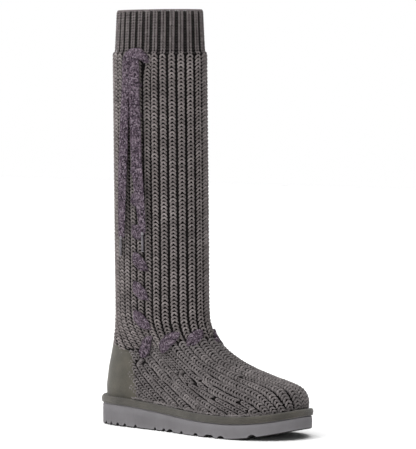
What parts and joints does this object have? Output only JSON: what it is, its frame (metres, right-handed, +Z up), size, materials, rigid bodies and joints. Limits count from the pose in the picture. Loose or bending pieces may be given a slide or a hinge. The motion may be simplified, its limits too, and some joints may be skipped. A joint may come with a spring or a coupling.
{
  "type": "knee-high knit boot",
  "caption": "Right knee-high boot: rib-knit upper with folded-look cuff, suede heel counter and welt, foam outsole, flat lace woven down the outer side.",
  "frame": {"origin": "on the floor, under the middle of the boot's outline as seen from above", "axes": "+X towards the toe, +Y towards the wearer's left, which is this right boot's inner side, +Z up"},
  "size_m": [0.279, 0.1044, 0.4735],
  "materials": {
    "knit": "chunky rib knit in grey acrylic and wool yarn",
    "counter_suede": "olive-grey suede, napped",
    "welt_suede": "olive-grey suede wrapped round the welt",
    "foam": "moulded matte foam, purple-grey",
    "fleece": "short grey fleece",
    "chenille": "heathered purple-grey chenille, flat",
    "aglet_metal": "polished gunmetal tube"
  },
  "bodies": {
    "root": {"upper": "knit", "heel_counter": "counter_suede", "welt": "welt_suede", "outsole": "foam", "insole": "fleece", "lace": "chenille", "lace_end_rear": "chenille", "lace_end_front": "chenille", "aglet_rear": "aglet_metal", "aglet_front": "aglet_metal"}
  },
  "joints": []
}
